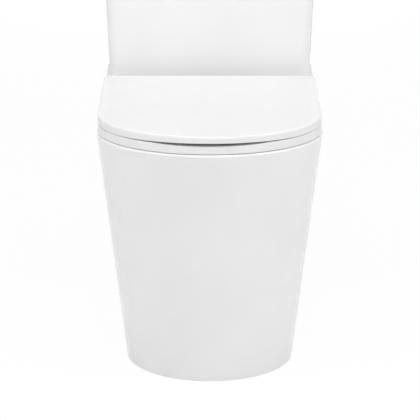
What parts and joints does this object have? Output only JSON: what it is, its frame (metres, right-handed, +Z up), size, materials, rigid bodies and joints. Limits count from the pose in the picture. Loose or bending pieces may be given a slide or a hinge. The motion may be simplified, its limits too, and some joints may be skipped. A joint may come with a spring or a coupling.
{
  "type": "close coupled toilet",
  "caption": "Close coupled toilet with a skirted tapering pan, a hinged slim seat and lid, and a cistern with a dual flush button.",
  "frame": {"origin": "on the floor, midway between the wall plane behind and the front tip of the rim, on the plane of symmetry", "axes": "+X to the right seen from the front, +Y towards the wall, +Z up"},
  "size_m": [0.3796, 0.65, 0.8025],
  "materials": {
    "glazed_ceramic": "white gloss glaze",
    "seat_plastic": "white gloss moulding",
    "buffer_rubber": "pale translucent",
    "chrome": "bright plated",
    "stainless_steel": "plain turned",
    "brass": "turned",
    "white_plastic": "moulded",
    "grey_plastic": "moulded",
    "black_rubber": "matt",
    "seal_rubber": "matt silicone"
  },
  "bodies": {
    "pan": {"pan_rim": "glazed_ceramic", "pan_skirt": "glazed_ceramic", "pan_bowl": "glazed_ceramic", "pan_trap": "glazed_ceramic", "pan_flush_way": "glazed_ceramic", "floor_bracket_right": "white_plastic", "floor_bracket_left": "white_plastic", "side_fixing_screws": "stainless_steel", "side_cover_caps": "white_plastic", "hinge_post_right": "chrome", "hinge_post_left": "chrome", "hinge_pins": "stainless_steel", "hinge_plates": "stainless_steel", "hinge_screws": "stainless_steel", "hinge_plugs": "black_rubber", "hinge_plug_nuts": "brass", "cistern_tank": "glazed_ceramic", "cistern_cover": "glazed_ceramic", "button_bezel": "chrome", "bezel_nut": "white_plastic", "flush_valve_base": "white_plastic", "flush_valve_tower": "white_plastic", "rocker_axle": "grey_plastic", "flush_valve_gasket": "black_rubber", "flush_valve_nut": "white_plastic", "doughnut_washer": "black_rubber", "fill_valve_body": "white_plastic", "fill_valve_head": "white_plastic", "fill_lever_axle": "grey_plastic", "fill_valve_gasket": "black_rubber", "fill_valve_nut": "white_plastic", "coupling_bolts": "stainless_steel", "tank_seal_washers": "black_rubber", "tank_steel_washers": "stainless_steel", "deck_rubber_washers": "black_rubber", "deck_steel_washers": "stainless_steel", "wing_nuts": "brass", "cistern_pads": "black_rubber"},
    "ring": {"seat_ring": "seat_plastic", "ring_buffers": "buffer_rubber", "ring_damper": "grey_plastic"},
    "lid": {"seat_lid": "seat_plastic", "lid_buffers": "buffer_rubber", "lid_damper": "grey_plastic"},
    "full_button": {"full_flush_button": "chrome", "full_push_rod": "grey_plastic"},
    "half_button": {"half_flush_button": "chrome", "half_push_rod": "grey_plastic"},
    "rocker": {"flush_rocker": "grey_plastic"},
    "flush_plug": {"overflow_tube": "grey_plastic", "flush_seal": "seal_rubber", "half_flush_float": "grey_plastic"},
    "float": {"fill_float": "grey_plastic", "fill_float_link": "grey_plastic"},
    "float_lever": {"fill_lever": "grey_plastic"}
  },
  "joints": [
    {"name": "seat_hinge", "type": "hinge", "parent": "pan", "child": "ring", "pos_m": [0, 0.096, 0.4114], "axis": [1, 0, 0], "range_deg": [-93, 0]},
    {"name": "lid_hinge", "type": "hinge", "parent": "ring", "child": "lid", "pos_m": [0, 0.096, 0.4114], "axis": [-1, 0, 0], "range_deg": [0, 93]},
    {"name": "full_flush", "type": "slide", "parent": "pan", "child": "full_button", "axis": [0, 0, 1], "range_m": [-0.008, 0], "stiffness_N_per_m": 500, "springref_m": 0.004},
    {"name": "half_flush", "type": "slide", "parent": "pan", "child": "half_button", "axis": [0, 0, 1], "range_m": [-0.008, 0], "stiffness_N_per_m": 500, "springref_m": 0.004},
    {"name": "rocker_tilt", "type": "hinge", "parent": "pan", "child": "rocker", "pos_m": [0, 0.24, 0.656], "axis": [0, 1, 0], "range_deg": [0, 31]},
    {"name": "valve_lift", "type": "slide", "parent": "pan", "child": "flush_plug", "axis": [0, 0, 1], "range_m": [0, 0.0105]},
    {"name": "float_slide", "type": "slide", "parent": "pan", "child": "float", "axis": [0, 0, 1], "range_m": [0, 0.01]},
    {"name": "lever_tilt", "type": "hinge", "parent": "pan", "child": "float_lever", "pos_m": [-0.111, 0.275, 0.715], "axis": [0, -1, 0], "range_deg": [0, 22.5]}
  ],
  "couplings": [
    {"joint": "rocker_tilt", "follows": "full_flush", "rad_per_m": -66},
    {"joint": "valve_lift", "follows": "full_flush", "ratio": -1.3},
    {"joint": "lever_tilt", "follows": "float_slide", "rad_per_m": 38.5}
  ]
}
